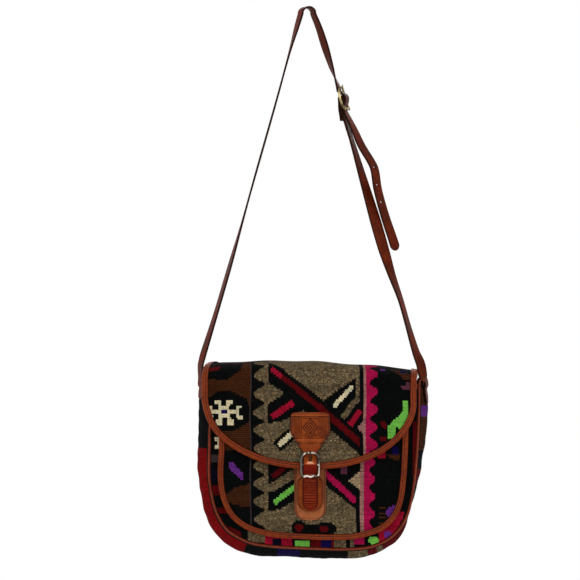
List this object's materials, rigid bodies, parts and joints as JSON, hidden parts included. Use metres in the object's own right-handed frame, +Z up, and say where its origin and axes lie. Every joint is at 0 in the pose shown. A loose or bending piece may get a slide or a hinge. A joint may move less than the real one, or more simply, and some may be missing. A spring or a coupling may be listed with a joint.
{
  "type": "kilim messenger bag",
  "caption": "Woven kilim shoulder bag with leather bindings, a buckled flap, a flat front pocket and a buckled strap, hanging from a peg.",
  "frame": {"origin": "inside of the strap's bend over the peg, in the middle of the strap", "axes": "+Z up along the hanging bag's height, +X to the right seen from the front, -Y the front"},
  "size_m": [0.2843, 0.1001, 0.6793],
  "materials": {
    "kilim": "matt",
    "binding_leather": "satin",
    "tab_leather": "satin",
    "patch_leather": "satin",
    "strap_leather": "satin",
    "lining_cloth": "matt",
    "silver_metal": "polished",
    "brass": "polished"
  },
  "bodies": {
    "bag": {"back_and_flap": "kilim", "front_panel": "kilim", "gusset": "kilim", "pocket_panel": "kilim", "front_piping": "binding_leather", "back_piping": "binding_leather", "flap_binding": "binding_leather", "pocket_binding": "binding_leather", "pocket_mouth_binding": "binding_leather", "mouth_binding_front": "binding_leather", "mouth_binding_left": "binding_leather", "mouth_binding_right": "binding_leather", "lining_front": "lining_cloth", "lining_gusset": "lining_cloth", "lining_back_and_flap": "lining_cloth", "flap_tab": "tab_leather", "pocket_patch": "patch_leather", "buckle_holder": "patch_leather", "closure_buckle": "silver_metal", "strap_long": "strap_leather", "strap_short": "strap_leather", "strap_buckle": "brass"},
    "closure_tongue": {"closure_prong": "silver_metal"},
    "strap_tongue": {"strap_prong": "brass"}
  },
  "joints": [
    {"name": "closure_prong_hinge", "type": "hinge", "parent": "bag", "child": "closure_tongue", "pos_m": [0.00362, -0.05955, -0.55796], "axis": [1, 0, 0], "range_deg": [0, 10]},
    {"name": "strap_prong_hinge", "type": "hinge", "parent": "bag", "child": "strap_tongue", "pos_m": [0.0436, 0, -0.1108], "axis": [0.3378, 0.9397, 0.0535], "range_deg": [0, 10]}
  ]
}
